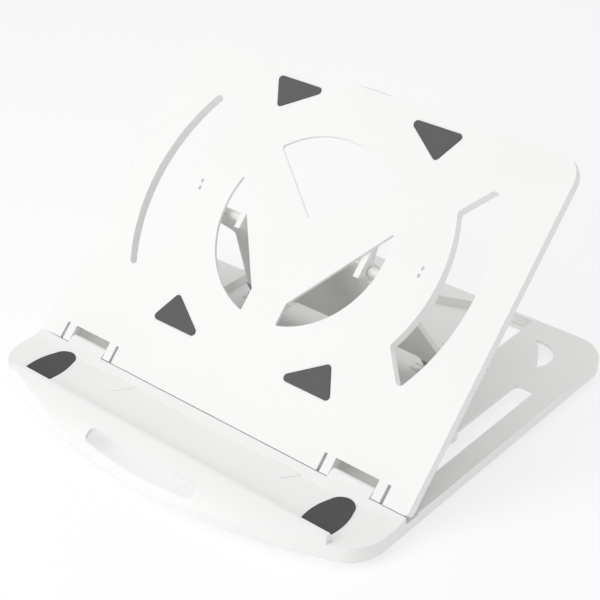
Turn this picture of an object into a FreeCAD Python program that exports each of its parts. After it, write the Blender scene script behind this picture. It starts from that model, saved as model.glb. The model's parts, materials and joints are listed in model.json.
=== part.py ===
import FreeCAD, Part
import math
import os
from FreeCAD import Placement, Rotation, Vector

# Folding laptop stand: a base shell, a tray hinged to it at the front, and a support leg hinged
# behind the tray. +X is the user's right, +Y the back, +Z up. The origin is on the table,
# under the middle of the base. The stand is modelled open, with its tray at tray_tilt.

doc = FreeCAD.newDocument("LaptopStand")
sheet = doc.addObject("Spreadsheet::Sheet", "Sizes")

SIZES = {
    # base shell
    "base_width": 300.0, "base_depth": 293.0, "base_bottom": 1.5, "deck_top": 12.0,
    "base_wall": 2.4, "base_front_arc": 358.0, "base_front_corner": 25.0,
    "base_rear_corner": 26.0, "rebate_in": 2.5, "rebate_up": 3.0, "apron_depth": 68.0,
    "apron_foot": 5.0, "apron_bend_in": 12.5, "apron_bend_up": 15.4,
    "channel_floor": 13.95, "lip_top": 16.0, "lip_slope": 8.0,
    "ridge_top": 20.0, "ridge_setback": 40.0, "ridge_half_length": 129.0, "tab_height": 0.6,
    "handle_width": 88.0, "handle_front": 64.2, "handle_back": 53.5, "handle_bow": 2.7,
    "long_slot_width": 13.5, "long_slot_x": 128.8, "long_slot_front": 30.0,
    "long_slot_back": 153.0, "notch_front": 147.0, "notch_back": 200.0, "notch_reach": 47.0,
    "well_floor": 4.9, "window_front": 146.0,
    "rack_pitch": 5.6, "rack_top": 6.8, "seat_top": 5.7, "rail_pitch": 6.0,
    "rail_back": 186.0, "rail_width": 6.0,
    # tray panel
    "tray_width": 300.0, "tray_length": 224.0, "tray_depth": 7.0, "tray_skin": 2.2,
    "tray_wall": 2.2, "hole_wall": 2.0, "tray_top_corner": 16.0, "tray_bottom_corner": 3.0,
    "tray_tilt": 45.0, "rose_centre": 126.5, "rose_radius": 62.6,
    "ring_inner": 101.3, "ring_outer": 126.6, "fan_foot": 133.75, "fan_shoulder": 171.0,
    "leaf_tip": 144.5, "leaf_foot": 80.25, "leaf_side": 13.9, "slot_inner_up": 43.75,
    "slot_outer_up": 65.0, "clip_x": 86.6, "clip_up": 125.6,
    # tray hinges
    "tray_axis_up": 3.0, "tray_axis_in": 3.5, "tray_axis_height": 15.9,
    "notch_near": 93.5, "notch_far": 124.7, "notch_length": 11.5, "finger_width": 6.2,
    "slit_width": 2.1, "pin_radius": 1.5, "pin_clearance": 0.06, "side_gap": 0.4,
    # support leg
    "leg_pivot_up": 120.0, "leg_pivot_in": 10.5, "leg_length": 97.0, "leg_thickness": 3.5,
    "leg_foot_height": 8.0, "leg_barrel": 3.2, "lug_inner": 46.0, "lug_outer": 94.0,
    "lug_width": 4.0, "lug_rib_up": 30.0, "lug_rib_down": 8.0,
    "leg_bar_half": 92.0, "leg_bar_end": 9.0, "leg_waist_half": 67.0, "leg_waist": 19.0,
    "leg_arch": 84.0, "leg_arch_half": 32.0, "leg_foot_near": 63.0, "leg_foot_far": 88.0,
    "grip_thickness": 4.0, "grip_reach": 9.0, "foot_setback": 3.0, "tongue_half": 1.0,
    "lug_notch": 11.5,
    # rubber pads and feet
    "pad_thickness": 1.2, "pad_recess": 0.6, "pad_gap": 0.15, "pad_corner": 2.5,
    "lip_pad_x": 115.0, "lip_pad_width": 23.0, "lip_pad_length": 44.0,
    "rubber_foot_radius": 7.0, "rubber_foot_socket": 1.0,
}
for row, (name, value) in enumerate(SIZES.items(), start=1):
    sheet.set(f"A{row}", name)
    sheet.set(f"B{row}", str(value))
    sheet.setAlias(f"B{row}", name)
doc.recompute()


def size(name):
    """A driving dimension, read back from the sheet."""
    return float(getattr(sheet, name))


# ---------------------------------------------------------------- places worked out from the sizes
LIP_Y = size("apron_depth") - size("base_depth") / 2     # where the open tray's edge meets the lip
TILT = math.radians(size("tray_tilt"))
AXIS_Y = LIP_Y + (size("tray_axis_up") * math.cos(TILT) + size("tray_axis_in") * math.sin(TILT))
AXIS_Z = size("tray_axis_height")
OPEN_TRAY = Placement(
    Vector(0, AXIS_Y, AXIS_Z), Rotation(Vector(1, 0, 0), size("tray_tilt"))
).multiply(Placement(Vector(0, -size("tray_axis_up"), size("tray_axis_in")), Rotation()))
LEG_PIVOT = OPEN_TRAY.multVec(Vector(0, size("leg_pivot_up"), -size("leg_pivot_in")))
LEG_SLOPE = -math.degrees(
    math.asin((LEG_PIVOT.z - size("leg_foot_height")) / size("leg_length")))
OPEN_LEG = Placement(LEG_PIVOT, Rotation(Vector(1, 0, 0), LEG_SLOPE))
FOOT_Y = LEG_PIVOT.y + size("leg_length") * math.cos(math.radians(LEG_SLOPE))
# with the tray closed, the leg lies flat in the base's well
CLOSED_PIVOT_Y = AXIS_Y + size("leg_pivot_up") - size("tray_axis_up")


# ---------------------------------------------------------------- outlines
def loop(*points):
    """Closed wire through the points. A tuple (via, end) in the list is an arc."""
    edges = []
    here = Vector(*points[0], 0)
    for item in list(points[1:]) + [points[0]]:
        if isinstance(item[0], tuple):
            via, end = Vector(*item[0], 0), Vector(*item[1], 0)
            edges.append(Part.Arc(here, via, end).toShape())
        else:
            end = Vector(*item, 0)
            if end.distanceToPoint(here) < 1e-6:
                continue
            edges.append(Part.LineSegment(here, end).toShape())
        here = end
    return Part.Wire(edges)


def box(x0, x1, y0, y1):
    return loop((x0, y0), (x1, y0), (x1, y1), (x0, y1))


def grown(wire, distance):
    """The outline moved outwards, or inwards when distance is negative."""
    return wire.makeOffset2D(distance, 0)


def softened(wire, radius):
    """The outline with its corners rounded, as the foot of a prism whose upright edges are."""
    prism = Part.Face(wire).extrude(Vector(0, 0, 50))
    upright = [e for e in prism.Edges if abs(e.tangentAt(e.FirstParameter).z) > 0.99]
    rounded = prism.makeFillet(radius, upright)
    return min(rounded.Faces, key=lambda face: face.CenterOfMass.z).OuterWire


def mirrored(wire):
    return wire.mirror(Vector(), Vector(1, 0, 0))


def both(wire):
    return [wire, mirrored(wire)]


def on_ring(radius, up):
    """x of the point of a tray circle at a height up the tray."""
    return math.sqrt(radius ** 2 - (up - size("rose_centre")) ** 2)


def tray_outline():
    half, length = size("tray_width") / 2, size("tray_length")
    top, low = size("tray_top_corner"), size("tray_bottom_corner")
    bend = math.sqrt(0.5)
    return loop(
        (-half + low, 0), (half - low, 0),
        ((half - low + low * bend, low - low * bend), (half, low)),
        (half, length - top),
        ((half - top + top * bend, length - top + top * bend), (half - top, length)),
        (-half + top, length),
        ((-half + top - top * bend, length - top + top * bend), (-half, length - top)),
        (-half, low),
        ((-half + low - low * bend, low - low * bend), (-half + low, 0)))


def sector_hole():
    """Fan at the middle: an arc on the rose circle over two straight sides."""
    centre, radius = size("rose_centre"), size("rose_radius")
    shoulder = size("fan_shoulder")
    half = on_ring(radius, shoulder)
    return softened(loop((0, size("fan_foot")), (half, shoulder),
                         ((0, centre + radius), (-half, shoulder))), 2.0)


def leaf_hole():
    """Right leaf: the rose circle cut by a sloping chord and a short upright side."""
    centre, radius = size("rose_centre"), size("rose_radius")
    tip_up, foot_x = size("leaf_tip"), size("leaf_side")
    tip_x = on_ring(radius, tip_up)
    foot_up = centre - math.sqrt(radius ** 2 - foot_x ** 2)
    angle = math.radians(-35)
    via = (radius * math.cos(angle), centre + radius * math.sin(angle))
    return softened(loop(
        (tip_x, tip_up), (foot_x, size("leaf_foot")), (foot_x, foot_up),
        (via, (tip_x, tip_up))), 0.8)


def side_slot():
    """Right side slot: a stretch of the ring between two sloping ends."""
    centre = size("rose_centre")
    inner, outer = size("ring_inner"), size("ring_outer")
    inner_up, outer_up = size("slot_inner_up"), size("slot_outer_up")
    inner_x = on_ring(inner, centre + inner_up)
    outer_x = on_ring(outer, centre + outer_up)
    return softened(loop(
        (inner_x, centre - inner_up), (outer_x, centre - outer_up),
        ((outer, centre), (outer_x, centre + outer_up)), (inner_x, centre + inner_up),
        ((inner, centre), (inner_x, centre - inner_up))), 3.0)


def triangle(corners):
    return softened(loop(*corners), size("pad_corner"))


def pad_outlines():
    """The four triangular pads: the lower pair is the upper pair upside down."""
    upper = triangle([(73, 215), (31, 215), (62, 194)])
    centre = size("rose_centre")
    lower = upper.mirror(Vector(0, centre, 0), Vector(0, 1, 0))
    return {"tray_pad_top_right": upper, "tray_pad_top_left": mirrored(upper),
            "tray_pad_bottom_right": lower, "tray_pad_bottom_left": mirrored(lower)}


def base_outline():
    half, depth = size("base_width") / 2, size("base_depth")
    front, back = -depth / 2, depth / 2
    arc = size("base_front_arc")
    side_y = front + arc - math.sqrt(arc ** 2 - half ** 2)
    front_part = loop((half, side_y), (half, 2 * back), (-half, 2 * back), (-half, side_y),
                      ((0, front), (half, side_y)))
    rear_part = box(-half, half, 2 * front, back)
    plan = Part.Face(softened(front_part, size("base_front_corner"))).common(
        Part.Face(softened(rear_part, size("base_rear_corner"))))
    return plan.Faces[0].OuterWire


def from_lip(distance):
    """y of a place behind the line where the tray's edge meets the lip."""
    return LIP_Y + distance


def long_slot():
    x, half = size("long_slot_x"), size("long_slot_width") / 2
    return softened(box(x - half, x + half, from_lip(size("long_slot_front")),
                        from_lip(size("long_slot_back"))), 4.0)


def left_slot():
    """The left slot stops earlier than the right one, in front of the side notch."""
    x, half = -size("long_slot_x"), size("long_slot_width") / 2
    return softened(box(x - half, x + half, from_lip(size("long_slot_front")),
                        from_lip(size("notch_front") - 6.0)), 4.0)


def side_notch():
    """Notch in the left edge of the base, open to the side."""
    edge = -size("base_width") / 2
    return softened(box(edge - 30.0, edge + size("notch_reach"), from_lip(size("notch_front")),
                        from_lip(size("notch_back"))), 6.0)


def hook_hole():
    """Crescent that bulges towards the rear right corner."""
    rear_tip, right_tip = (103.5, from_lip(204.5)), (121.0, from_lip(176.0))
    outer, inner = (121.3, from_lip(198.0)), (113.8, from_lip(191.3))
    return softened(loop(rear_tip, (outer, right_tip), (inner, rear_tip)), 1.0)


def rear_openings():
    return [long_slot(), left_slot(), side_notch(), hook_hole()]


def handle_hole():
    """Long hole for the fingers. Its front edge is bowed like the front of the base."""
    half, bow = size("handle_width") / 2, size("handle_bow")
    front, back = from_lip(-size("handle_front")), from_lip(-size("handle_back"))
    return softened(loop((-half, front + bow), ((0, front), (half, front + bow)),
                         (half, back), (-half, back)), 3.8)


def leg_outline():
    """Plate of the leg, its pivot line along y = 0: a crossbar, a waist and two feet."""
    bar, bar_end = size("leg_bar_half"), size("leg_bar_end")
    end = size("leg_length") - size("foot_setback")
    near, arch = size("leg_foot_near"), size("leg_arch")
    right = [(bar, 0), (bar, bar_end), (size("leg_waist_half"), size("leg_waist")),
             (size("leg_foot_far"), end), (near, end), (near - 1.0, arch + 1.5),
             (size("leg_arch_half"), arch)]
    left = [(-x, y) for x, y in reversed(right)]
    return softened(loop(*(right + left)), 2.0)


def well_outline(gap):
    """Room that the folded leg and its lugs need in the base."""
    y = CLOSED_PIVOT_Y
    side, far, near = size("lug_outer") + size("lug_width") + 1.5, size("leg_foot_far"), 57.0
    end = y + size("leg_length") + gap + 1.6
    plateau, plateau_half = y + size("leg_arch") + 2.0 + gap, size("leg_arch_half") - 8.0
    right = [(side, y - 7.0), (side, y + 33.0), (far + gap, y + 46.0), (far + gap, end),
             (near, end), (plateau_half, plateau)]
    left = [(-x, v) for x, v in reversed(right)]
    return loop(*(right + left))


def lip_pad_outline():
    """Right channel pad: an upright oval cut straight where it meets the ridge."""
    x, half = size("lip_pad_x"), size("lip_pad_width") / 2
    back, front = from_lip(-6.0), from_lip(-size("ridge_setback") + 1.2)
    reach = size("lip_pad_length") / 2
    centre = back - reach

    def width(y):
        return half * math.sqrt(1 - ((y - centre) / reach) ** 2)

    mid = (centre + back) / 2 + 4
    return loop(
        (x - width(front), front), (x + width(front), front),
        ((x + half, centre + 1), (x + width(mid), mid)),
        ((x, back), (x - width(mid), mid)),
        ((x - half, centre + 1), (x - width(front), front)))


# ---------------------------------------------------------------- building blocks
def new_body(label):
    body = doc.addObject("PartDesign::Body", label)
    body.Label = label
    return body


def sketch_on(body, name, role, wires, lift=0.0):
    """Sketch of the wires on one of the body's origin planes, lifted along its normal."""
    sketch = body.newObject("Sketcher::SketchObject", name)
    plane = next(f for f in body.Origin.OriginFeatures if f.Role == role)
    sketch.AttachmentSupport = [(plane, "")]
    sketch.MapMode = "FlatFace"
    sketch.AttachmentOffset = Placement(Vector(0, 0, lift), Rotation())
    for wire in wires:
        for edge in wire.OrderedEdges:
            ends = [v.Point for v in (edge.firstVertex(True), edge.lastVertex(True))]
            first, last = edge.ParameterRange
            middle = edge.valueAt((first + last) / 2)
            if isinstance(edge.Curve, Part.Line) or isinstance(edge.Curve, Part.LineSegment):
                sketch.addGeometry(Part.LineSegment(*ends), False)
            elif ends[0].distanceToPoint(ends[1]) < 1e-7:
                circle = edge.Curve
                sketch.addGeometry(Part.Circle(circle.Center, Vector(0, 0, 1), circle.Radius))
            else:
                sketch.addGeometry(Part.Arc(ends[0], middle, ends[1]), False)
    return sketch


def pad(body, name, sketch, length, both_ways=False, reverse=False):
    feature = body.newObject("PartDesign::Pad", name)
    feature.Profile = sketch
    feature.setExpression("Length", length)
    feature.Midplane = both_ways
    feature.Reversed = reverse
    doc.recompute()
    return feature


def pocket(body, name, sketch, length=None, both_ways=False, reverse=False):
    """Pocket that must take something away: its volume is checked against the body's."""
    before = body.Shape.Volume
    feature = body.newObject("PartDesign::Pocket", name)
    feature.Profile = sketch
    if length is None:
        feature.Type = "ThroughAll"
    else:
        feature.setExpression("Length", length)
    feature.Midplane = both_ways
    feature.Reversed = reverse
    doc.recompute()
    if not body.Shape.Volume < before - 0.5:
        raise RuntimeError(f"{name} cuts nothing")
    return feature


def cylinder_along_x(body, name, kind, radius, x0, x1, y, z):
    """Additive or subtractive cylinder with its axis along X."""
    feature = body.newObject(f"PartDesign::{kind}Cylinder", name)
    feature.setExpression("Radius", radius)
    feature.Height = x1 - x0
    feature.Placement = Placement(Vector(x0, y, z), Rotation(Vector(0, 1, 0), 90))
    doc.recompute()
    return feature


def plate(label, wire, thickness, place):
    """Flat piece of the outline's shape, thick upwards from its own plane."""
    body = new_body(label)
    sketch = sketch_on(body, f"{label}_outline", "XY_Plane", [wire])
    pad(body, f"{label}_pad", sketch, thickness)
    body.Placement = place
    return body


# ---------------------------------------------------------------- tray panel
def hinge_block(side):
    """Solid ground for one hinge's fingers, as an outline on the tray."""
    near = size("notch_near") - size("finger_width") - size("slit_width") - 2.0
    far = size("notch_far") + size("finger_width") + size("slit_width") + 2.0
    x0, x1 = sorted((side * near, side * far))
    return box(x0, x1, 0, size("notch_length") + 3.0)


def make_tray():
    body = new_body("tray_panel")
    outline = sketch_on(body, "tray_outline", "XY_Plane", [tray_outline()])
    pad(body, "tray_block", outline, "Sizes.tray_depth", reverse=True)

    holes = [sector_hole()] + both(leaf_hole()) + both(side_slot())
    hollow = Part.Face(grown(tray_outline(), -size("tray_wall")))
    for slot in both(side_slot()):
        hollow = hollow.cut(Part.Face(grown(slot, size("hole_wall"))))
    for side in (-1, 1):
        hollow = hollow.cut(Part.Face(hinge_block(side)))
    skin = size("tray_skin")
    hollow_sketch = sketch_on(body, "tray_hollow_outline", "XY_Plane",
                              [w for face in hollow.Faces for w in face.Wires], lift=-skin)
    pocket(body, "tray_hollow", hollow_sketch, "Sizes.tray_depth")

    sketch = sketch_on(body, "tray_holes_outline", "XY_Plane", holes)
    pocket(body, "tray_holes", sketch)

    near, far, deep = size("notch_near"), size("notch_far"), size("notch_length")
    finger, slit = size("finger_width"), size("slit_width")
    cuts = []
    for x0, x1 in ((near, far), (near - finger - slit, near - finger),
                   (far + finger, far + finger + slit)):
        cuts += both(box(x0, x1, -1, deep))
    sketch = sketch_on(body, "tray_notches_outline", "XY_Plane", cuts)
    pocket(body, "tray_notches", sketch)

    recess = [grown(w, size("pad_gap")) for w in pad_outlines().values()]
    sketch = sketch_on(body, "tray_pad_recess_outline", "XY_Plane", recess)
    pocket(body, "tray_pad_recesses", sketch, "Sizes.pad_recess")

    # small clip holes above the leg's outer lugs
    x, up = size("clip_x"), size("clip_up")
    clips = both(box(x, x + 2.0, up, up + 2.4)) + both(box(x + 0.6, x + 2.6, up + 4.8, up + 7.2))
    pocket(body, "tray_clip_holes", sketch_on(body, "tray_clips_outline", "XY_Plane", clips))

    # blind bores for the tray's hinge pins, from the notch into each finger
    up, inwards = size("tray_axis_up"), -size("tray_axis_in")
    for name, side in (("left", -1), ("right", 1)):
        x0, x1 = sorted((side * (near - finger + 1.0), side * (far + finger - 1.0)))
        cylinder_along_x(body, f"tray_pin_bore_{name}", "Subtractive",
                         "Sizes.pin_radius + Sizes.pin_clearance", x0, x1, up, inwards)

    # lugs that hold the leg's pins: a round end on the pivot and a rib up to the skin
    pivot, depth = size("leg_pivot_up"), size("leg_pivot_in")
    barrel = size("leg_barrel")
    lug_side = loop((pivot - barrel, -depth), ((pivot, -depth - barrel), (pivot + barrel, -depth)),
                    (pivot + size("lug_rib_up"), -skin), (pivot - size("lug_rib_down"), -skin))
    for place, x in (("inner", size("lug_inner")), ("outer", size("lug_outer"))):
        for side, start in (("right", x), ("left", -x - size("lug_width"))):
            sketch = sketch_on(body, f"{place}_lug_{side}_outline", "YZ_Plane", [lug_side],
                               lift=start)
            pad(body, f"{place}_lug_{side}", sketch, "Sizes.lug_width")
    reach = size("lug_outer") + size("lug_width")
    for name, side in (("left", -1), ("right", 1)):
        x0, x1 = sorted((side * size("lug_inner"), side * reach))
        cylinder_along_x(body, f"leg_pin_bore_{name}", "Subtractive",
                         "Sizes.pin_radius", x0, x1, pivot, -depth)
    body.Placement = OPEN_TRAY
    return body


# ---------------------------------------------------------------- base shell
def apron_points():
    """Side profile of the apron: three points of its arc, from the table up to the ridge."""
    front, ridge_y = -size("base_depth") / 2, from_lip(-size("ridge_setback"))
    return ((front, size("apron_foot")),
            (front + size("apron_bend_in"), size("apron_bend_up")),
            (ridge_y - 3.0, size("ridge_top")))


def make_base_block():
    """Outside of the base: its side profile over the whole width, trimmed to its plan."""
    body = new_body("base_block")
    front, back = -size("base_depth") / 2, size("base_depth") / 2
    bottom, deck, floor = size("base_bottom"), size("deck_top"), size("channel_floor")
    ridge, ridge_y = size("ridge_top"), from_lip(-size("ridge_setback"))
    lip = size("lip_top")
    low, middle, high = apron_points()
    profile = loop(
        (front, bottom), low, (middle, high),
        (ridge_y - 0.8, ridge), (ridge_y + 0.6, floor), (from_lip(-size("lip_slope")), floor),
        (from_lip(-1.2), lip), (from_lip(-0.35), lip), (from_lip(-0.35), deck - 1.2),
        (from_lip(10.0), deck - 1.2), (from_lip(11.5), deck), (back, deck), (back, bottom))
    sketch = sketch_on(body, "base_profile", "YZ_Plane", [profile])
    pad(body, "base_profile_pad", sketch, "Sizes.base_width", both_ways=True)

    frame = box(-200, 200, -200, 200)
    sketch = sketch_on(body, "base_trim_outline", "XY_Plane", [frame, base_outline()])
    pocket(body, "base_trim", sketch, reverse=True)

    # the lower edge is set back all round, so that the base looks thinner than it is
    set_back = grown(base_outline(), -size("rebate_in"))
    sketch = sketch_on(body, "rebate_outline", "XY_Plane", [frame, set_back],
                       lift=bottom + size("rebate_up"))
    pocket(body, "rebate", sketch)

    # the ridge stops short of both corners, where the channel floor runs on
    corner = box(size("ridge_half_length"), 160, front - 5, ridge_y + 2)
    sketch = sketch_on(body, "ridge_ends_outline", "XY_Plane",
                       [softened(corner, 4.0), mirrored(softened(corner, 4.0))], lift=floor)
    pocket(body, "ridge_ends", sketch, reverse=True)

    openings = rear_openings() + [handle_hole()]
    sketch = sketch_on(body, "base_openings_outline", "XY_Plane", openings)
    pocket(body, "base_openings", sketch, reverse=True)

    sketch = sketch_on(body, "well_outline", "XY_Plane", [well_outline(2.0)],
                       lift=size("well_floor"))
    pocket(body, "well", sketch, reverse=True)

    # windows under the swing of the leg's feet
    far, near = size("leg_foot_far") + 2.0, size("leg_foot_near") - 2.0
    window_back = CLOSED_PIVOT_Y + size("leg_length") + 3.0
    window = softened(box(near, far, from_lip(size("window_front")), window_back), 2.0)
    sketch = sketch_on(body, "window_outline", "XY_Plane", both(window))
    pocket(body, "windows", sketch, reverse=True)

    recess = grown(lip_pad_outline(), size("pad_gap"))
    sketch = sketch_on(body, "lip_pad_recess_outline", "XY_Plane", both(recess),
                       lift=floor - size("pad_recess"))
    pocket(body, "lip_pad_recesses", sketch, reverse=True)
    return body


def knuckle_profile():
    """Side view of a hinge knuckle: a round nose on the axis, blended into the lip."""
    nose = 3.4
    blend = math.radians(125)
    top = (AXIS_Y + nose * math.cos(blend), AXIS_Z + nose * math.sin(blend))
    return loop((from_lip(-3.0), size("deck_top") - 3.0), (from_lip(8.5), size("deck_top") - 3.0),
                (AXIS_Y + nose, AXIS_Z), ((AXIS_Y, AXIS_Z + nose), top),
                (from_lip(-3.0), size("channel_floor") + 1.0))


def make_tabs():
    """Two flat tabs that run from the lip down into the channel."""
    body = new_body("channel_tabs")
    tab = softened(loop((54.0, from_lip(-5.0)), (63.0, from_lip(-18.0)), (72.0, from_lip(-18.0)),
                        (82.0, from_lip(-5.0))), 2.0)
    sketch = sketch_on(body, "channel_tabs_outline", "XY_Plane", both(tab),
                       lift=size("channel_floor") - size("tab_height"))
    pad(body, "channel_tabs_pad", sketch, "2 * Sizes.tab_height")
    return body


def make_base_fittings():
    """Hinge knuckles on the lip."""
    body = new_body("base_fittings")
    gap = size("side_gap")
    width = size("notch_far") - size("notch_near") - 2 * gap
    sheet_width = "Sizes.notch_far - Sizes.notch_near - 2 * Sizes.side_gap"
    for side, x in (("right", size("notch_near") + gap), ("left", -size("notch_far") + gap)):
        sketch = sketch_on(body, f"knuckle_{side}_outline", "YZ_Plane", [knuckle_profile()],
                           lift=x)
        pad(body, f"knuckle_{side}", sketch, sheet_width)
        cylinder_along_x(body, f"knuckle_bore_{side}", "Subtractive", "Sizes.pin_radius",
                         x - 1, x + width + 1, AXIS_Y, AXIS_Z)
    return body


def rack_profile(back, seats, pitch):
    """Side view of a rack: seats a pitch apart, each with a tooth in front of it."""
    floor, seat, top = size("well_floor") - 1.0, size("seat_top"), size("rack_top")
    points = [(back, floor)]
    for step in range(seats):
        y = back - step * pitch
        points += [(y, seat), (y - 0.6 * pitch, seat), (y - 0.75 * pitch, top),
                   (y - pitch, top)]
    points.append((back - seats * pitch, floor))
    return loop(*points)


def make_racks():
    """Seats that the leg's feet stand in, and a finer toothed rail beside each."""
    seats = rack_profile(FOOT_Y + 1.2, 2, size("rack_pitch"))
    rail = rack_profile(from_lip(size("rail_back")), 9, size("rail_pitch"))
    near, far, wide = size("leg_foot_near"), size("leg_foot_far"), size("rail_width")
    rail_x = near - 2.5 - wide
    racks = []
    for name, profile, x, width in (
            ("seats_right", seats, near, "Sizes.leg_foot_far - Sizes.leg_foot_near"),
            ("seats_left", seats, -far, "Sizes.leg_foot_far - Sizes.leg_foot_near"),
            ("rail_right", rail, rail_x, "Sizes.rail_width"),
            ("rail_left", rail, -rail_x - wide, "Sizes.rail_width")):
        rack = new_body(name)
        sketch = sketch_on(rack, f"{name}_outline", "YZ_Plane", [profile], lift=x)
        pad(rack, f"{name}_pad", sketch, width)
        racks.append(rack)
    return racks


def make_core():
    """Hollow under the base, open downwards, with walls left where they are needed."""
    wall = size("base_wall")
    inner = Part.Face(grown(base_outline(), -wall - size("rebate_in")))
    rear = inner.common(Part.Face(box(-200, 200, from_lip(13.0), 200)))
    rear = rear.cut(Part.Face(grown(side_notch(), wall)))
    rear = rear.cut(Part.Face(grown(well_outline(2.0), wall)))
    for x, y in foot_places().values():
        rear = rear.cut(Part.Face(Part.Wire(Part.makeCircle(
            size("rubber_foot_radius") + 2.0, Vector(x, y, 0)))))
    rear_body = new_body("core_rear")
    sketch = sketch_on(rear_body, "core_rear_outline", "XY_Plane",
                       [w for face in rear.Faces for w in face.Wires])
    pad(rear_body, "core_rear_pad", sketch, "Sizes.deck_top - Sizes.base_wall")

    front = inner.common(Part.Face(box(-200, 200, from_lip(-36.0), from_lip(-4.0))))
    for x, y in foot_places().values():
        front = front.cut(Part.Face(Part.Wire(Part.makeCircle(
            size("rubber_foot_radius") + 2.0, Vector(x, y, 0)))))
    front_body = new_body("core_front")
    sketch = sketch_on(front_body, "core_front_outline", "XY_Plane",
                       [w for face in front.Faces for w in face.Wires])
    pad(front_body, "core_front_pad", sketch, "Sizes.channel_floor - Sizes.base_wall - 0.6")
    return rear_body, front_body, make_apron_core(inner.OuterWire)


def make_apron_core(plan):
    """Hollow under the curved apron, a wall's thickness inside it, within the plan."""
    wall, front = size("base_wall"), -size("base_depth") / 2
    arc = Part.Arc(*(Vector(y, z, 0) for y, z in apron_points())).toShape().Curve
    inwards = 1 - wall / arc.Radius
    start, middle, end = (arc.Center + (Vector(y, z, 0) - arc.Center) * inwards
                          for y, z in apron_points())
    profile = loop((start.x, 0), (start.x, start.y),
                   ((middle.x, middle.y), (end.x, end.y)), (end.x, 0))
    body = new_body("core_apron")
    sketch = sketch_on(body, "core_apron_outline", "YZ_Plane", [profile])
    pad(body, "core_apron_pad", sketch, "2 * (Sizes.ridge_half_length - 4)", both_ways=True)
    frame = box(-200, 200, 2 * front, 200)
    sketch = sketch_on(body, "core_apron_trim_outline", "XY_Plane", [frame, plan])
    pocket(body, "core_apron_trim", sketch, reverse=True)
    return body


def foot_places():
    """Centres of the six rubber feet under the base, by name."""
    rows = {"front": (118.0, -24.0), "middle": (110.7, 90.0), "rear": (134.0, 208.0)}
    return {f"rubber_foot_{row}_{side}": (sign * x, from_lip(back))
            for row, (x, back) in rows.items() for side, sign in (("left", -1), ("right", 1))}


def make_base():
    block = make_base_block()
    cutters = list(make_core())
    for name, (x, y) in foot_places().items():
        socket = doc.addObject("Part::Cylinder", f"{name}_socket")
        socket.setExpression("Radius", "Sizes.rubber_foot_radius")
        socket.setExpression("Height", "Sizes.base_bottom + Sizes.rubber_foot_socket")
        socket.Placement = Placement(Vector(x, y, 0), Rotation())
        cutters.append(socket)
    cutter = doc.addObject("Part::MultiFuse", "base_cutters")
    cutter.Shapes = cutters
    hollow = doc.addObject("Part::Cut", "base_hollowed")
    hollow.Base, hollow.Tool = block, cutter

    whole = doc.addObject("Part::MultiFuse", "base_shell")
    whole.Shapes = [hollow, make_base_fittings(), make_tabs()] + make_racks()
    whole.Label = "base_shell"
    doc.recompute()
    return whole


# ---------------------------------------------------------------- support leg
def make_leg():
    body = new_body("support_leg")
    half = size("leg_thickness") / 2
    sketch = sketch_on(body, "leg_outline", "XY_Plane", [leg_outline()])
    pad(body, "leg_plate", sketch, "Sizes.leg_thickness", both_ways=True)

    # notches beside the inner lugs, so that they can turn past the plate
    gap = size("side_gap")
    inner, width = size("lug_inner"), size("lug_width")
    notch = box(inner - gap, inner + width + gap, -6, size("lug_notch"))
    pocket(body, "lug_notches", sketch_on(body, "lug_notch_outline", "XY_Plane", both(notch)),
           both_ways=True)

    # barrels round the pins, and tongues for the grips
    outer = size("lug_outer")
    for side, x0, x1 in (("right", inner + width + gap, outer - gap),
                         ("left", -outer + gap, -inner - width - gap)):
        cylinder_along_x(body, f"barrel_{side}", "Additive", "Sizes.leg_barrel", x0, x1, 0, 0)
        cylinder_along_x(body, f"barrel_bore_{side}", "Subtractive",
                         "Sizes.pin_radius + Sizes.pin_clearance", x0 - 1, x1 + 1, 0, 0)
    tongue, start = size("tongue_half"), size("leg_length") - size("grip_reach")
    strip = box(-100, 100, start, size("leg_length"))
    for name, lift in (("above", tongue), ("below", -half)):
        sketch = sketch_on(body, f"tongue_{name}_outline", "XY_Plane", [strip], lift=lift)
        pocket(body, f"tongue_{name}", sketch, "Sizes.leg_thickness / 2 - Sizes.tongue_half",
               reverse=True)
    body.Placement = OPEN_LEG
    return body


def make_grip(label, x):
    """Soft cap with a round end, slipped over one foot of the leg from x to the right."""
    thick, tongue = size("grip_thickness") / 2, size("tongue_half")
    end, start = size("leg_length"), size("leg_length") - size("grip_reach")
    tongue_end = end - size("foot_setback")
    profile = loop((start, tongue), (tongue_end, tongue), (tongue_end, -tongue),
                   (start, -tongue), (start, -thick), (end, -thick),
                   ((end + thick, 0), (end, thick)), (start, thick))
    body = new_body(label)
    sketch = sketch_on(body, f"{label}_outline", "YZ_Plane", [profile], lift=x)
    pad(body, f"{label}_pad", sketch, "Sizes.leg_foot_far - Sizes.leg_foot_near")
    body.Placement = OPEN_LEG
    return body


# ---------------------------------------------------------------- pins, pads and rubber feet
def make_pin(label, x0, x1, at):
    """Round pin along X between x0 and x1."""
    pin = doc.addObject("Part::Cylinder", label)
    pin.Label = label
    pin.setExpression("Radius", "Sizes.pin_radius")
    pin.Height = x1 - x0
    pin.Placement = Placement(Vector(x0, at.y, at.z), Rotation(Vector(0, 1, 0), 90))
    return pin


def make_pins():
    near = size("notch_near") - size("finger_width") + 1.2
    far = size("notch_far") + size("finger_width") - 1.2
    inner, outer = size("lug_inner"), size("lug_outer") + size("lug_width")
    axis = Vector(0, AXIS_Y, AXIS_Z)
    return [make_pin("tray_hinge_pin_right", near, far, axis),
            make_pin("tray_hinge_pin_left", -far, -near, axis),
            make_pin("leg_hinge_pin_right", inner, outer, LEG_PIVOT),
            make_pin("leg_hinge_pin_left", -outer, -inner, LEG_PIVOT)]


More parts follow.
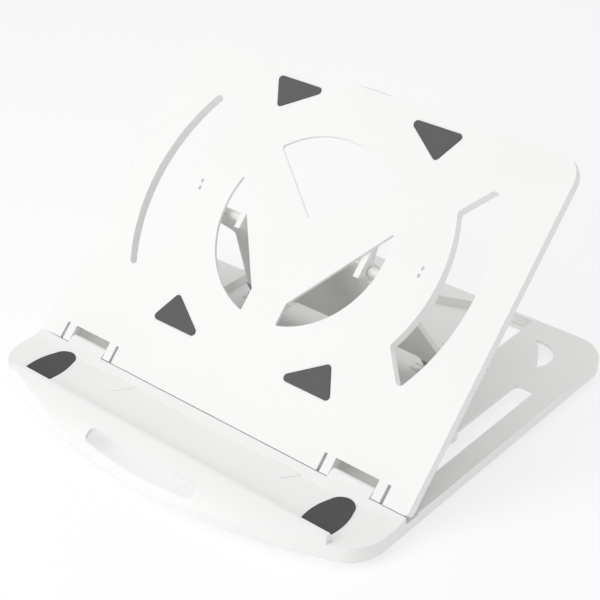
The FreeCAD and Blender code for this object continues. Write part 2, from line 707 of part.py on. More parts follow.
def make_pads():
    """Triangular pads on the tray and oval ones in the channel, each half sunk in a recess."""
    sunk = Placement(Vector(0, 0, -size("pad_recess")), Rotation())
    on_floor = Placement(
        Vector(0, 0, size("channel_floor") - size("pad_recess")), Rotation())
    pads = [plate(label, wire, "Sizes.pad_thickness", OPEN_TRAY.multiply(sunk))
            for label, wire in pad_outlines().items()]
    right = lip_pad_outline()
    for label, wire in (("lip_pad_right", right), ("lip_pad_left", mirrored(right))):
        pads.append(plate(label, wire, "Sizes.pad_thickness", on_floor))
    return pads


def make_rubber_feet():
    feet = []
    for label, (x, y) in foot_places().items():
        foot = doc.addObject("Part::Cylinder", label)
        foot.Label = label
        foot.setExpression("Radius", "Sizes.rubber_foot_radius")
        foot.setExpression("Height", "Sizes.base_bottom + Sizes.rubber_foot_socket")
        foot.Placement = Placement(Vector(x, y, 0), Rotation())
        feet.append(foot)
    return feet


def checked(objects):
    """Every object of the document is sound, and every sub-part is one valid shape."""
    for item in doc.Objects:
        for word in ("Invalid", "Error"):
            if word in item.State:
                raise RuntimeError(f"{item.Label}: {item.State}")
    for item in objects:
        if item.Shape.isNull() or not item.Shape.isValid():
            raise RuntimeError(f"{item.Label} has no valid shape")


parts = [make_base(), make_tray(), make_leg()]
parts += [make_grip("leg_grip_right", size("leg_foot_near")),
          make_grip("leg_grip_left", -size("leg_foot_far"))]
parts += make_pins() + make_pads() + make_rubber_feet()
doc.recompute()
checked(parts)
os.makedirs("parts", exist_ok=True)
for item in parts:
    item.Shape.exportStep(f"parts/{item.Label}.step")
    print(f"{item.Label}: {len(item.Shape.Solids)} solid, {item.Shape.Volume / 1000:.2f} cm3")
print(f"tray axis y {AXIS_Y:.3f} z {AXIS_Z:.3f}, leg pivot y {LEG_PIVOT.y:.3f} "
      f"z {LEG_PIVOT.z:.3f}, leg slope {LEG_SLOPE:.3f}, foot y {FOOT_Y:.3f}")
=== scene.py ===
# %% [markdown]
# # A folding laptop stand, finished in Blender
#
# The frame holds every solid of the stand at its real size, and it says which body each one moves
# with. This lesson gives those solids what a moulded product has and a CAD file lacks: soft edges,
# a fine skin on the plastic, matt rubber, and light that shows them. Nothing is moved or resized.

# %% Load the frame
import json
import math

import bmesh
import bpy
from mathutils import Matrix, Vector


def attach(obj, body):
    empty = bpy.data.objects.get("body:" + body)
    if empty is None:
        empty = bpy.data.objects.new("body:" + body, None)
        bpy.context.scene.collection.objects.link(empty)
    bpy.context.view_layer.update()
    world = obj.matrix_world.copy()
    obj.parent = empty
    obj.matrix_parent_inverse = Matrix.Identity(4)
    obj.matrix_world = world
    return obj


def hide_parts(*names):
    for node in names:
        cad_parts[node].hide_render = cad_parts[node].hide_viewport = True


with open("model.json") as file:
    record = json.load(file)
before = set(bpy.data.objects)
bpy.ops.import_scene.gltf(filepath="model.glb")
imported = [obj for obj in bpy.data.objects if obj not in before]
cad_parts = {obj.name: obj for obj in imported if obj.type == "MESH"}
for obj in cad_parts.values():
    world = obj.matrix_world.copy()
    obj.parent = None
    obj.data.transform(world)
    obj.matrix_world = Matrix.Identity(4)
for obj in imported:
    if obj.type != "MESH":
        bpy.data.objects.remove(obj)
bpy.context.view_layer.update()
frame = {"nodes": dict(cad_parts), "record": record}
scene = bpy.context.scene
print("nodes:", len(frame["nodes"]))

# %% [markdown]
# ## Working units
#
# Blender works in metres, and a moulding is thought of in millimetres. One constant turns one into
# the other, so that every size below reads as it would on a drawing.

# %% Millimetres
MM = 0.001


def millimetres(corner):
    """A corner of a box in whole millimetres, for printing."""
    return tuple(round(value / MM) for value in corner)


# %% [markdown]
# ## A helper for node trees
#
# Materials and node groups are both node trees. They are easier to read in a script when making a
# node, setting its values and linking its inputs is one call. A value that is an output socket is
# linked, and anything else is set. A Mix node has sockets of the same name for every kind of data,
# so its colour sockets are found by number: two inputs and the result.

# %% Node helper
MIX_FIRST, MIX_SECOND, MIX_COLOUR = 6, 7, 2


def add_node(tree, kind, label="", inputs=None, **settings):
    """New node: settings are its properties, inputs its sockets by name or number."""
    node = tree.nodes.new(kind)
    node.label = label
    for name, value in settings.items():
        setattr(node, name, value)
    for socket, value in (inputs or {}).items():
        if isinstance(value, bpy.types.NodeSocket):
            tree.links.new(value, node.inputs[socket])
        else:
            node.inputs[socket].default_value = value
    return node


def new_group(name, kind, inputs, outputs):
    """Node group with its sockets. Each input is (name, type, default)."""
    group = bpy.data.node_groups.new(name, kind)
    for socket, socket_type, default in inputs:
        item = group.interface.new_socket(socket, in_out="INPUT", socket_type=socket_type)
        if default is not None:
            item.default_value = default
    for socket, socket_type in outputs:
        group.interface.new_socket(socket, in_out="OUTPUT", socket_type=socket_type)
    start = group.nodes.new("NodeGroupInput")
    end = group.nodes.new("NodeGroupOutput")
    return group, start, end


print("helpers ready:", add_node.__name__, new_group.__name__)

# %% [markdown]
# ## The skin of a moulding
#
# The stand is injection moulded. Its tool is spark eroded, which leaves a fine, even grain on the
# plastic, and the melt freezes unevenly, which leaves broad faint patches in the gloss. Both belong
# to every plastic and rubber part, each at its own strength, so they are one shared group. It reads
# Object coordinates, because every piece sits at the origin and is never stretched.

# %% Moulded skin group
def moulded_skin_group():
    """Grain height and a slow mottle, for any moulded surface."""
    group, start, end = new_group(
        "moulded_skin", "ShaderNodeTree",
        [("Grain Scale", "NodeSocketFloat", 900.0), ("Mottle Scale", "NodeSocketFloat", 14.0)],
        [("Height", "NodeSocketFloat"), ("Mottle", "NodeSocketFloat")])
    place = add_node(group, "ShaderNodeTexCoord")
    pits = add_node(group, "ShaderNodeTexVoronoi", "erosion pits", {
        "Vector": place.outputs["Object"], "Scale": start.outputs["Grain Scale"]},
        feature="SMOOTH_F1")
    grit = add_node(group, "ShaderNodeTexNoise", "grit", {
        "Vector": place.outputs["Object"], "Scale": start.outputs["Grain Scale"],
        "Detail": 2.0, "Roughness": 0.6})
    height = add_node(group, "ShaderNodeMath", "pits and grit", {
        0: pits.outputs["Distance"], 1: grit.outputs["Fac"]}, operation="ADD")
    mottle = add_node(group, "ShaderNodeTexNoise", "mottle", {
        "Vector": place.outputs["Object"], "Scale": start.outputs["Mottle Scale"],
        "Detail": 4.0, "Roughness": 0.55, "Distortion": 0.4})
    group.links.new(height.outputs[0], end.inputs["Height"])
    group.links.new(mottle.outputs["Fac"], end.inputs["Mottle"])
    return group


SKIN = moulded_skin_group()
print("group", SKIN.name, "has", len(SKIN.nodes), "nodes")

# %% [markdown]
# ## Where hands have been
#
# A stand is picked up and folded, and fingers leave soft smears that are a little glossier than the
# grain. They sit in a few large patches, so a slow noise picks the places and a quicker one breaks
# them up. The group only gives a mask: each material decides what the mask does.

# %% Handling marks group
def handling_marks_group():
    """Mask of smears: 0 on clean plastic, up to 1 in the middle of a smear."""
    group, start, end = new_group(
        "handling_marks", "ShaderNodeTree",
        [("Patch Scale", "NodeSocketFloat", 9.0), ("Smear Scale", "NodeSocketFloat", 90.0)],
        [("Mask", "NodeSocketFloat")])
    place = add_node(group, "ShaderNodeTexCoord")
    patches = add_node(group, "ShaderNodeTexNoise", "patches", {
        "Vector": place.outputs["Object"], "Scale": start.outputs["Patch Scale"],
        "Detail": 1.0})
    few = add_node(group, "ShaderNodeMapRange", "only the highest", {
        "Value": patches.outputs["Fac"], "From Min": 0.55, "From Max": 0.75})
    smears = add_node(group, "ShaderNodeTexNoise", "smears", {
        "Vector": place.outputs["Object"], "Scale": start.outputs["Smear Scale"],
        "Detail": 3.0, "Distortion": 1.2})
    mask = add_node(group, "ShaderNodeMath", "smears in the patches", {
        0: few.outputs["Result"], 1: smears.outputs["Fac"]}, operation="MULTIPLY")
    group.links.new(mask.outputs[0], end.inputs["Mask"])
    return group


HANDLING = handling_marks_group()
print("group", HANDLING.name, "has", len(HANDLING.nodes), "nodes")

# %% [markdown]
# ## A finish that uses the skin
#
# Every finish here is the same idea: a colour that drifts a little, a roughness that drifts with it,
# and a bump from the grain. A material function keeps the shader itself in the material, where an
# export can read it, and takes only masks and heights from the group.

# %% Moulded finish
def moulded_finish(name, light, dark, roughness, grain_scale, grain_depth, mottle_scale=14.0,
                   roughness_swing=0.06, smear=0.08):
    """Material for a moulded part: two close colours mixed by the mottle, and a grained bump.

    A smear takes up to its own value off the roughness.
    """
    material = bpy.data.materials.new(name)
    material.use_nodes = True
    tree = material.node_tree
    shader = tree.nodes["Principled BSDF"]
    skin = add_node(tree, "ShaderNodeGroup", "moulded skin", node_tree=SKIN)
    skin.inputs["Grain Scale"].default_value = grain_scale
    skin.inputs["Mottle Scale"].default_value = mottle_scale
    colour = add_node(tree, "ShaderNodeMix", "drift of colour", {
        "Factor": skin.outputs["Mottle"], MIX_FIRST: (*dark, 1.0),
        MIX_SECOND: (*light, 1.0)}, data_type="RGBA")
    gloss = add_node(tree, "ShaderNodeMapRange", "drift of gloss", {
        "Value": skin.outputs["Mottle"], "To Min": roughness - roughness_swing,
        "To Max": roughness + roughness_swing})
    handled = add_node(tree, "ShaderNodeGroup", "handling marks", node_tree=HANDLING)
    smeared = add_node(tree, "ShaderNodeMath", "glossier where handled", {
        0: handled.outputs["Mask"], 1: -smear, 2: gloss.outputs["Result"]},
        operation="MULTIPLY_ADD")
    bump = add_node(tree, "ShaderNodeBump", "grain", {
        "Height": skin.outputs["Height"], "Strength": 1.0, "Distance": grain_depth})
    tree.links.new(colour.outputs[MIX_COLOUR], shader.inputs["Base Color"])
    tree.links.new(smeared.outputs[0], shader.inputs["Roughness"])
    tree.links.new(bump.outputs["Normal"], shader.inputs["Normal"])
    return material


# %% [markdown]
# ## White plastic
#
# The tray, the base and the leg are one white plastic. The tray is eroded a little finer than the
# base, which takes more wear, and the leg a little coarser, because nobody touches it. The whites are
# kept just under full brightness, so that light and shade still show on them. The leg's white is set
# darker than the tray's and the base's. That is painted shade, for the shade the leg stands in under
# the tray.

# %% White plastic finishes
tray_white = moulded_finish(
    "tray_white", light=(0.93, 0.93, 0.92), dark=(0.90, 0.90, 0.89),
    roughness=0.44, grain_scale=1400.0, grain_depth=0.012 * MM)
base_white = moulded_finish(
    "base_white", light=(0.92, 0.92, 0.91), dark=(0.885, 0.885, 0.875),
    roughness=0.40, grain_scale=1100.0, grain_depth=0.015 * MM)
# Painted shade: the leg's two colours are darker than the tray's and stand in for the shade under the
# tray.
leg_white_shaded = moulded_finish(
    "leg_white_shaded", light=(0.88, 0.88, 0.865), dark=(0.85, 0.85, 0.835),
    roughness=0.48, grain_scale=900.0, grain_depth=0.018 * MM)
print("white finishes:", tray_white.name, base_white.name, leg_white_shaded.name)

# %% [markdown]
# ## Rubber
#
# The triangular pads are a grey rubber, the two in the channel a darker one, and the grips and feet
# are paler. Rubber scatters light widely, so its roughness is high and its grain deep. Dust shows
# on it as a paler mottle. All four are the moulded finish with one grain depth and one dust scale.

# %% Rubber finishes
RUBBER_GRAIN = 0.03 * MM
RUBBER_DUST = 60.0


def rubber(name, light, dark, roughness, grain_scale):
    """Moulded finish with the deep grain and the small dusty mottle of rubber."""
    return moulded_finish(name, light, dark, roughness, grain_scale, RUBBER_GRAIN, RUBBER_DUST)


pad_grey = rubber("pad_grey", (0.112, 0.112, 0.115), (0.085, 0.085, 0.088), 0.72, 1500.0)
lip_pad_grey = rubber("lip_pad_grey", (0.077, 0.077, 0.076), (0.058, 0.058, 0.057), 0.75, 1500.0)
grip_grey = rubber("grip_grey", (0.42, 0.42, 0.41), (0.36, 0.36, 0.35), 0.7, 1300.0)
foot_grey = rubber("foot_grey", (0.22, 0.22, 0.22), (0.17, 0.17, 0.17), 0.75, 1300.0)
print("rubber finishes:", pad_grey.name, lip_pad_grey.name, grip_grey.name, foot_grey.name)

# %% [markdown]
# ## Steel pins
#
# The hinge pins are cut from drawn wire. Drawing leaves fine scratches along the pin, so the noise
# is stretched along X, the way that every pin lies.

# %% Drawn steel
def drawn_steel():
    """Steel with scratches that run along X."""
    material = bpy.data.materials.new("drawn_steel")
    material.use_nodes = True
    tree = material.node_tree
    shader = tree.nodes["Principled BSDF"]
    place = add_node(tree, "ShaderNodeTexCoord")
    along = add_node(tree, "ShaderNodeMapping", "stretched along the pin", {
        "Vector": place.outputs["Object"], "Scale": (60.0, 4000.0, 4000.0)})
    scratch = add_node(tree, "ShaderNodeTexNoise", "scratches", {
        "Vector": along.outputs["Vector"], "Scale": 1.0, "Detail": 3.0})
    colour = add_node(tree, "ShaderNodeMix", "tarnish", {
        "Factor": scratch.outputs["Fac"], MIX_FIRST: (0.50, 0.50, 0.51, 1.0),
        MIX_SECOND: (0.66, 0.66, 0.67, 1.0)}, data_type="RGBA")
    gloss = add_node(tree, "ShaderNodeMapRange", "gloss", {
        "Value": scratch.outputs["Fac"], "To Min": 0.24, "To Max": 0.44})
    handled = add_node(tree, "ShaderNodeGroup", "handling marks", node_tree=HANDLING)
    smeared = add_node(tree, "ShaderNodeMath", "glossier where handled", {
        0: handled.outputs["Mask"], 1: -0.06, 2: gloss.outputs["Result"]},
        operation="MULTIPLY_ADD")
    bump = add_node(tree, "ShaderNodeBump", "scratch depth", {
        "Height": scratch.outputs["Fac"], "Strength": 0.6, "Distance": 0.01 * MM})
    tree.links.new(colour.outputs[MIX_COLOUR], shader.inputs["Base Color"])
    tree.links.new(smeared.outputs[0], shader.inputs["Roughness"])
    tree.links.new(bump.outputs["Normal"], shader.inputs["Normal"])
    shader.inputs["Metallic"].default_value = 1.0
    return material


steel = drawn_steel()
print("metal finish:", steel.name)

# %% [markdown]
# ## Soft edges
#
# No moulding has a knife edge: the tool's corners are eased, and the light that runs along them is
# how the eye reads plastic. A solid from the frame is loose triangles, so a copy is first welded,
# then its flat faces are joined back into whole faces, and only then can a bevel run cleanly along
# the edges that are truly sharp. The copy stands in for the solid and rides on the same body.

# %% Softening a solid
WELD = 0.002 * MM
FLAT_ENOUGH = math.radians(0.6)
SHARP = math.radians(30.0)


def body_of_node(node):
    """The name of the body that a node moves with."""
    members = frame["record"]["behaviour"]["bodies"]
    return next(body for body, nodes in members.items() if node in nodes)


def soften(node, width, material, segments=2):
    """Copy of a solid with every sharp edge rounded to the width, standing in for it."""
    mesh = frame["nodes"][node].data.copy()
    mesh.materials.clear()
    form = bmesh.new()
    form.from_mesh(mesh)
    bmesh.ops.remove_doubles(form, verts=form.verts, dist=WELD)
    bmesh.ops.dissolve_limit(
        form, angle_limit=FLAT_ENOUGH, verts=form.verts, edges=form.edges)
    form.to_mesh(mesh)
    form.free()
    mesh.name = f"{node}_soft"
    piece = bpy.data.objects.new(f"{node}_soft", mesh)
    scene.collection.objects.link(piece)
    mesh.materials.append(material)
    mesh.shade_smooth()
    bevel = piece.modifiers.new("eased edges", "BEVEL")
    bevel.width = width
    bevel.segments = segments
    bevel.limit_method = "ANGLE"
    bevel.angle_limit = SHARP
    bevel.use_clamp_overlap = True
    bevel.harden_normals = True
    flats = piece.modifiers.new("flat faces stay flat", "WEIGHTED_NORMAL")
    flats.keep_sharp = True
    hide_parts(node)
    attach(piece, body_of_node(node))
    return piece


# %% [markdown]
# ## The three mouldings
#
# The tray and the base get an edge of 0.6 mm and the leg one of 0.5 mm. That is as much as a maker
# eases a tool without making the part look soft, and it is well under the walls of about 2 mm.

# %% Softened mouldings
base = soften("base_shell", 0.6 * MM, base_white)
tray = soften("tray_panel", 0.6 * MM, tray_white)
leg = soften("support_leg", 0.5 * MM, leg_white_shaded)
print("softened:", base.name, tray.name, leg.name)

# %% [markdown]
# ## Pads, grips, feet and pins
#
# Rubber fills its tool less sharply than plastic does, and a cut pin is only deburred. The small
# parts go through the same helper, with three segments on rubber so that its edge looks round.

# %% Softened rubber and pins
RUBBER_FINISH = {
    "tray_pad_top_left": pad_grey, "tray_pad_top_right": pad_grey,
    "tray_pad_bottom_left": pad_grey, "tray_pad_bottom_right": pad_grey,
    "lip_pad_left": lip_pad_grey, "lip_pad_right": lip_pad_grey,
    "leg_grip_left": grip_grey, "leg_grip_right": grip_grey,
}
for node, finish in RUBBER_FINISH.items():
    soften(node, 0.35 * MM, finish, segments=3)
for node in sorted(frame["nodes"]):
    if node.startswith("rubber_foot"):
        soften(node, 0.4 * MM, foot_grey, segments=3)
    elif "hinge_pin" in node:
        soften(node, 0.3 * MM, steel, segments=2)

# %% [markdown]
# ## Turning a node group into a plain piece
#
# Ribs and tool marks repeat by a rule, so Geometry Nodes make them: change one number and the whole
# row follows. The frame wants plain meshes, so the helper runs the group once on an empty object,
# keeps the result as a mesh, and drops the modifier. Every group ends in the same way: its instances
# are made real, because an export drops instances, and the material is set.

# %% Ending of a group
def finish_group(group, end, geometry, material):
    """Make the instances real, set the material and join the result to the group's output."""
    real = add_node(group, "GeometryNodeRealizeInstances", inputs={"Geometry": geometry})
    painted = add_node(group, "GeometryNodeSetMaterial", inputs={
        "Geometry": real.outputs["Geometry"], "Material": material})
    group.links.new(painted.outputs["Geometry"], end.inputs["Geometry"])
    print("group", group.name, "has", len(group.nodes), "nodes")
    return group


# %% Bake helper
def bake(name, group, values, place, body):
    """Run a Geometry Nodes group, put its mesh at the place and make it ride on the body."""
    holder = bpy.data.objects.new(f"{name}_holder", bpy.data.meshes.new(f"{name}_holder"))
    scene.collection.objects.link(holder)
    modifier = holder.modifiers.new(name, "NODES")
    modifier.node_group = group
    sockets = {item.name: item.identifier for item in group.interface.items_tree
               if item.in_out == "INPUT"}
    for socket, value in values.items():
        modifier[sockets[socket]] = value
    bpy.context.view_layer.update()
    shaped = holder.evaluated_get(bpy.context.evaluated_depsgraph_get())
    mesh = bpy.data.meshes.new_from_object(shaped)
    mesh.name = name
    mesh.transform(place)
    piece = bpy.data.objects.new(name, mesh)
    scene.collection.objects.link(piece)
    bpy.data.objects.remove(holder)
    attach(piece, body)
    print(name, "has", len(mesh.polygons), "faces")
    return piece


# %% [markdown]
# ## Ribs behind the tray
#
# A flat panel two millimetres thick would bend under a laptop. The moulder thickens it with ribs,
# which cost little plastic: two rings round the rose of holes, and spokes between them, turned by
# half a step so that none runs across the small clip holes.

# %% Rings and spokes
RING_STEPS = 120


def rings_and_spokes_group():
    """Two rings and the spokes between them, round the origin, standing on Z."""
    group, start, end = new_group(
        "rings_and_spokes", "GeometryNodeTree",
        [("Inner Radius", "NodeSocketFloat", 0.066), ("Outer Radius", "NodeSocketFloat", 0.0985),
         ("Spokes", "NodeSocketInt", 24), ("Rib Width", "NodeSocketFloat", 0.0012),
         ("Rib Height", "NodeSocketFloat", 0.003), ("Material", "NodeSocketMaterial", None)],
        [("Geometry", "NodeSocketGeometry")])
    ask = start.outputs
    profile = add_node(group, "GeometryNodeCurvePrimitiveQuadrilateral", "rib section", {
        "Width": ask["Rib Width"], "Height": ask["Rib Height"]})
    circles = [
        add_node(group, "GeometryNodeCurvePrimitiveCircle", radius, {
            "Resolution": RING_STEPS, "Radius": ask[radius]})
        for radius in ("Inner Radius", "Outer Radius")]
    both_rings = add_node(group, "GeometryNodeJoinGeometry")
    for circle in circles:
        group.links.new(circle.outputs["Curve"], both_rings.inputs["Geometry"])
    upright = add_node(group, "GeometryNodeSetCurveNormal", "keep the section upright", {
        "Curve": both_rings.outputs["Geometry"]}, mode="Z_UP")
    rings = add_node(group, "GeometryNodeCurveToMesh", "rings", {
        "Curve": upright.outputs["Curve"], "Profile Curve": profile.outputs["Curve"]})

    reach = add_node(group, "ShaderNodeMath", "spoke length", {
        0: ask["Outer Radius"], 1: ask["Inner Radius"]}, operation="SUBTRACT")
    total = add_node(group, "ShaderNodeMath", "both radii", {
        0: ask["Outer Radius"], 1: ask["Inner Radius"]}, operation="ADD")
    middle = add_node(group, "ShaderNodeMath", "spoke centre", {
        0: total.outputs[0], 1: 0.5}, operation="MULTIPLY")
    size = add_node(group, "ShaderNodeCombineXYZ", "spoke size", {
        "X": reach.outputs[0], "Y": ask["Rib Width"], "Z": ask["Rib Height"]})
    spoke = add_node(group, "GeometryNodeMeshCube", "spoke", {"Size": size.outputs["Vector"]})
    centres = add_node(group, "GeometryNodeCurvePrimitiveCircle", "spoke centres", {
        "Resolution": ask["Spokes"], "Radius": middle.outputs[0]})
    position = add_node(group, "GeometryNodeInputPosition")
    outwards = add_node(group, "FunctionNodeAlignRotationToVector", "point outwards", {
        "Vector": position.outputs["Position"]}, axis="X")
    spokes = add_node(group, "GeometryNodeInstanceOnPoints", "spokes", {
        "Points": centres.outputs["Curve"], "Instance": spoke.outputs["Mesh"],
        "Rotation": outwards.outputs["Rotation"]})
    half_step = add_node(group, "ShaderNodeMath", "half a step", {
        0: math.pi, 1: ask["Spokes"]}, operation="DIVIDE")
    turn = add_node(group, "ShaderNodeCombineXYZ", "turn", {"Z": half_step.outputs[0]})
    turned = add_node(group, "GeometryNodeTransform", "turned spokes", {
        "Geometry": spokes.outputs["Instances"], "Rotation": turn.outputs["Vector"]})

    everything = add_node(group, "GeometryNodeJoinGeometry")
    group.links.new(rings.outputs["Mesh"], everything.inputs["Geometry"])
    group.links.new(turned.outputs["Geometry"], everything.inputs["Geometry"])
    return finish_group(group, end, everything.outputs["Geometry"], ask["Material"])


# %% [markdown]
# ## The ribs in their place
#
# The tray stands open at 45 degrees, so a matrix carries flat work on to it: out to the hinge, round
# by the tray's angle, and on to the tray's own front edge. The ribs hang under the skin. They are
# made 0.2 mm taller than they show, and half of that reaches into the skin, so that no gap shows.

# %% Tray ribs
OVERLAP = 0.2 * MM
TRAY_AXIS = Vector((0.0, -73.904, 15.9)) * MM
TRAY_EDGE = Vector((0.0, -3.0, 3.5)) * MM
TRAY_PLANE = (Matrix.Translation(TRAY_AXIS) @ Matrix.Rotation(math.radians(45), 4, "X")
              @ Matrix.Translation(TRAY_EDGE))
TRAY_SKIN = 2.2 * MM
RIB_HEIGHT = 3.0 * MM
rose = Matrix.Translation((0.0, 126.5 * MM, -TRAY_SKIN - RIB_HEIGHT / 2))
bake("tray_ribs", rings_and_spokes_group(), {
    "Inner Radius": 66.0 * MM, "Outer Radius": 98.5 * MM, "Spokes": 24,
    "Rib Width": 1.2 * MM, "Rib Height": RIB_HEIGHT + OVERLAP, "Material": tray_white,
}, TRAY_PLANE @ rose, "tray")

# %% [markdown]
# ## Ribs under the base
#
# Under the deck the ribs make a plain lattice. A grid's edges are the lattice already, so the group
# turns them into curves and sweeps the section of a rib along them.

# %% Lattice of ribs
def rib_lattice_group():
    """Ribs along the edges of a grid."""
    group, start, end = new_group(
        "rib_lattice", "GeometryNodeTree",
        [("Size X", "NodeSocketFloat", 0.2), ("Size Y", "NodeSocketFloat", 0.1),
         ("Lines X", "NodeSocketInt", 8), ("Lines Y", "NodeSocketInt", 4),
         ("Rib Width", "NodeSocketFloat", 0.0012), ("Rib Height", "NodeSocketFloat", 0.006),
         ("Material", "NodeSocketMaterial", None)],
        [("Geometry", "NodeSocketGeometry")])
    ask = start.outputs
    grid = add_node(group, "GeometryNodeMeshGrid", "lattice", {
        "Size X": ask["Size X"], "Size Y": ask["Size Y"],
        "Vertices X": ask["Lines X"], "Vertices Y": ask["Lines Y"]})
    lines = add_node(group, "GeometryNodeMeshToCurve", "every edge", {
        "Mesh": grid.outputs["Mesh"]})
    upright = add_node(group, "GeometryNodeSetCurveNormal", "keep the section upright", {
        "Curve": lines.outputs["Curve"]}, mode="Z_UP")
    profile = add_node(group, "GeometryNodeCurvePrimitiveQuadrilateral", "rib section", {
        "Width": ask["Rib Width"], "Height": ask["Rib Height"]})
    ribs = add_node(group, "GeometryNodeCurveToMesh", "ribs", {
        "Curve": upright.outputs["Curve"], "Profile Curve": profile.outputs["Curve"],
        "Fill Caps": True})
    return finish_group(group, end, ribs.outputs["Mesh"], ask["Material"])


# %% [markdown]
# ## The lattice in its place
#
# The lattice sits under the middle of the deck, in front of where the leg folds down. It has the
# same overlap with the deck as the other ribs have with the tray's skin.

# %% Base ribs
DECK_UNDERSIDE = 9.6 * MM
LATTICE_HEIGHT = 6.0 * MM
lattice_place = Matrix.Translation((0.0, -16.0 * MM, DECK_UNDERSIDE - LATTICE_HEIGHT / 2))
bake("base_ribs", rib_lattice_group(), {
    "Size X": 200.0 * MM, "Size Y": 90.0 * MM, "Lines X": 8, "Lines Y": 4,
    "Rib Width": 1.4 * MM, "Rib Height": LATTICE_HEIGHT + OVERLAP, "Material": base_white,
}, lattice_place, "base")

# %% [markdown]
# ## Marks of the ejector pins
#
# Round pins push a moulding out of its tool, and each leaves a faint disc on the hidden side. Two
# rows of them on the back of the leg are small, but they are what a hand finds there.

# %% Ejector marks
def ejector_marks_group():
    """Two rows of thin discs."""
    group, start, end = new_group(
        "ejector_marks", "GeometryNodeTree",
        [("Row Length", "NodeSocketFloat", 0.12), ("Row Gap", "NodeSocketFloat", 0.018),
         ("Pins", "NodeSocketInt", 5), ("Pin Radius", "NodeSocketFloat", 0.0025),
         ("Proud", "NodeSocketFloat", 0.0002), ("Material", "NodeSocketMaterial", None)],
        [("Geometry", "NodeSocketGeometry")])
    ask = start.outputs
    rows = add_node(group, "GeometryNodeMeshGrid", "two rows", {
        "Size X": ask["Row Length"], "Size Y": ask["Row Gap"],
        "Vertices X": ask["Pins"], "Vertices Y": 2})
    disc = add_node(group, "GeometryNodeMeshCylinder", "pin mark", {
        "Vertices": 40, "Radius": ask["Pin Radius"], "Depth": ask["Proud"]})
    marks = add_node(group, "GeometryNodeInstanceOnPoints", "marks", {
        "Points": rows.outputs["Mesh"], "Instance": disc.outputs["Mesh"]})
    return finish_group(group, end, marks.outputs["Instances"], ask["Material"])


# %% [markdown]
# ## The marks in their place
#
# The leg slopes down and back from its pins, so it has a plane of its own. The discs stand about a
# tenth of a millimetre proud of its rear face.

# %% Marks on the leg
LEG_PIVOT = Vector((0.0, 13.777, 93.682)) * MM
LEG_PLANE = Matrix.Translation(LEG_PIVOT) @ Matrix.Rotation(math.radians(-62.045), 4, "X")
LEG_HALF_THICKNESS = 1.75 * MM
marks_place = Matrix.Translation((0.0, 28.0 * MM, LEG_HALF_THICKNESS))
bake("leg_ejector_marks", ejector_marks_group(), {
    "Row Length": 120.0 * MM, "Row Gap": 18.0 * MM, "Pins": 5, "Pin Radius": 2.6 * MM,
    "Proud": 0.24 * MM, "Material": leg_white_shaded,
}, LEG_PLANE @ marks_place, "leg")

# %% [markdown]
# ## Ribs on the grips
#
# The leg stands on two soft caps. Fine ribs across each cap are moulded in, so that fingers can pull
# the leg out of its seat. They form a row with equal steps, which is one line of points.

# %% Row of ribs
def rib_row_group():
    """A row of small ribs with equal steps along X."""
    group, start, end = new_group(
        "rib_row", "GeometryNodeTree",
        [("Ribs", "NodeSocketInt", 7), ("Step", "NodeSocketFloat", 0.0035),
         ("Rib Size", "NodeSocketVector", (0.0012, 0.007, 0.0004)),
         ("Material", "NodeSocketMaterial", None)],
        [("Geometry", "NodeSocketGeometry")])
    ask = start.outputs
    gaps = add_node(group, "ShaderNodeMath", "gaps between ribs", {
        0: ask["Ribs"], 1: 1.0}, operation="SUBTRACT")
    length = add_node(group, "ShaderNodeMath", "length of the row", {
        0: gaps.outputs[0], 1: ask["Step"]}, operation="MULTIPLY")
    first = add_node(group, "ShaderNodeMath", "start of the row", {
        0: length.outputs[0], 1: -0.5}, operation="MULTIPLY")
    start_at = add_node(group, "ShaderNodeCombineXYZ", "first rib", {"X": first.outputs[0]})
    step = add_node(group, "ShaderNodeCombineXYZ", "one step", {"X": ask["Step"]})
    line = add_node(group, "GeometryNodeMeshLine", "row", {
        "Count": ask["Ribs"], "Start Location": start_at.outputs["Vector"],
        "Offset": step.outputs["Vector"]})
    rib = add_node(group, "GeometryNodeMeshCube", "rib", {"Size": ask["Rib Size"]})
    ribs = add_node(group, "GeometryNodeInstanceOnPoints", "ribs", {
        "Points": line.outputs["Mesh"], "Instance": rib.outputs["Mesh"]})
    return finish_group(group, end, ribs.outputs["Instances"], ask["Material"])


# %% [markdown]
# ## The grips in their place
#
# Both grips take the same row, so one group is baked twice, on the left and on the right of the
# leg's plane.

# %% Ribs on both grips
rib_row = rib_row_group()
GRIP_CENTRE = Vector((75.5, 92.5, 2.0)) * MM
for side, sign in (("left", -1), ("right", 1)):
    on_grip = Matrix.Translation((sign * GRIP_CENTRE.x, GRIP_CENTRE.y, GRIP_CENTRE.z))
    bake(f"grip_ribs_{side}", rib_row, {
        "Ribs": 7, "Step": 3.5 * MM, "Rib Size": (1.2 * MM, 7.0 * MM, 0.5 * MM),
        "Material": grip_grey}, LEG_PLANE @ on_grip, "leg")

# %% [markdown]
# ## Floor
#
# The floor is a plain pale surface that glows a little, like the white acrylic of a product table lit
# from below: it stays white inside the stand's holes. It isn't part of the stand.

# %% Plain floor
FLOOR_REACH = 6.0
FLOOR_GREY = 0.45
FLOOR_GLOW = 0.56


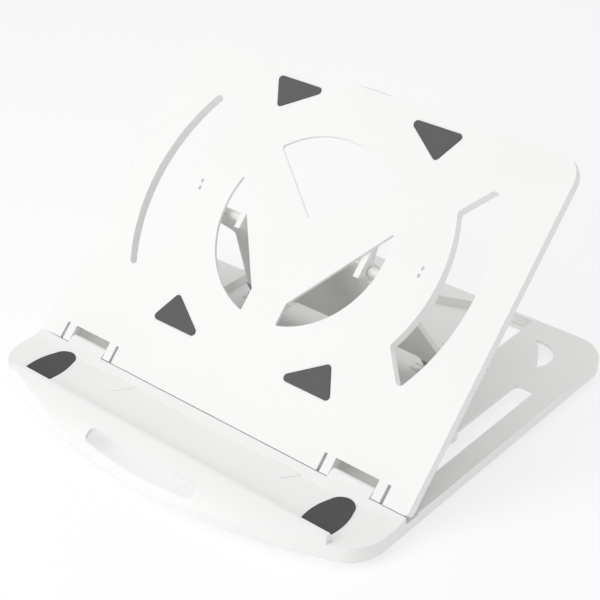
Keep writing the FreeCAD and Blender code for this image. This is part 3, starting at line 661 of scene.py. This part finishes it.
def plain_floor():
    """Square floor at the height that the feet stand on."""
    floor_mesh = bpy.data.meshes.new("floor")
    reach = FLOOR_REACH
    floor_mesh.from_pydata(
        [(-reach, -reach, 0), (reach, -reach, 0), (reach, reach, 0), (-reach, reach, 0)],
        [], [(0, 1, 2, 3)])
    floor = bpy.data.objects.new("floor", floor_mesh)
    scene.collection.objects.link(floor)
    material = bpy.data.materials.new("floor_paint")
    material.use_nodes = True
    shader = material.node_tree.nodes["Principled BSDF"]
    shader.inputs["Base Color"].default_value = (FLOOR_GREY, FLOOR_GREY, FLOOR_GREY, 1.0)
    shader.inputs["Emission Color"].default_value = (1.0, 1.0, 1.0, 1.0)
    shader.inputs["Emission Strength"].default_value = FLOOR_GLOW
    shader.inputs["Roughness"].default_value = 0.9
    shader.inputs["Specular IOR Level"].default_value = 0.1
    floor_mesh.materials.append(material)
    return floor


floor = plain_floor()
print("floor:", floor.name, "is", 2 * FLOOR_REACH, "m wide")

# %% [markdown]
# ## Light
#
# A white product on a white floor is lit almost from everywhere. A large soft light overhead and a
# little behind gives the top faces their tone. The key comes from the front left, a small low light
# lifts the apron, and the pale world fills the shade.

# %% Lights
WORLD_LIGHT = 0.55
CENTRE = Vector((0.0, -0.02, 0.06))


def soft_light(name, place, size, power):
    """Square area light that looks at the middle of the stand."""
    data = bpy.data.lights.new(name, "AREA")
    data.shape = "SQUARE"
    data.size = size
    data.energy = power
    light = bpy.data.objects.new(name, data)
    light.location = place
    light.rotation_euler = (CENTRE - Vector(place)).to_track_quat("-Z", "Y").to_euler()
    scene.collection.objects.link(light)
    return light


soft_light("top", (0.0, 0.3, 2.2), 1.8, 11.0)
soft_light("key", (-0.7, -1.3, 1.7), 1.4, 4.8)
soft_light("front", (-0.3, -1.0, 0.5), 0.7, 3.5)
world = bpy.data.worlds.new("pale room")
scene.world = world
world.use_nodes = True
background = world.node_tree.nodes["Background"]
background.inputs["Color"].default_value = (1.0, 1.0, 1.0, 1.0)
background.inputs["Strength"].default_value = WORLD_LIGHT
scene.view_settings.view_transform = "Standard"

# %% [markdown]
# ## Camera
#
# The camera stands to the front right, a little above, and far enough away for a long lens. Its
# place is measured from the line where the open tray meets the lip of the base, and its turn is
# built from the three directions that it sees as right, up and back.

# %% Camera
LIP_LINE = Vector((0.0, -78.5, 16.25)) * MM
CAMERA_PLACE = LIP_LINE + Vector((505.5, -507.0, 514.5)) * MM
SEEN_RIGHT = Vector((0.762, 0.6475, -0.002)).normalized()
SEEN_AHEAD = Vector((-0.5541, 0.6503, -0.5197)).normalized()
LENS = 86.97
SENSOR_WIDTH = 36.0

camera_data = bpy.data.cameras.new("camera")
camera_data.lens = LENS
camera_data.sensor_width = SENSOR_WIDTH
camera = bpy.data.objects.new("camera", camera_data)
seen_up = SEEN_RIGHT.cross(SEEN_AHEAD).normalized()
turn = Matrix((SEEN_RIGHT, seen_up, -SEEN_AHEAD)).transposed()
camera.matrix_world = Matrix.Translation(CAMERA_PLACE) @ turn.to_4x4()
scene.collection.objects.link(camera)
scene.camera = camera
print("camera at", millimetres(CAMERA_PLACE), "with a lens of", camera_data.lens)
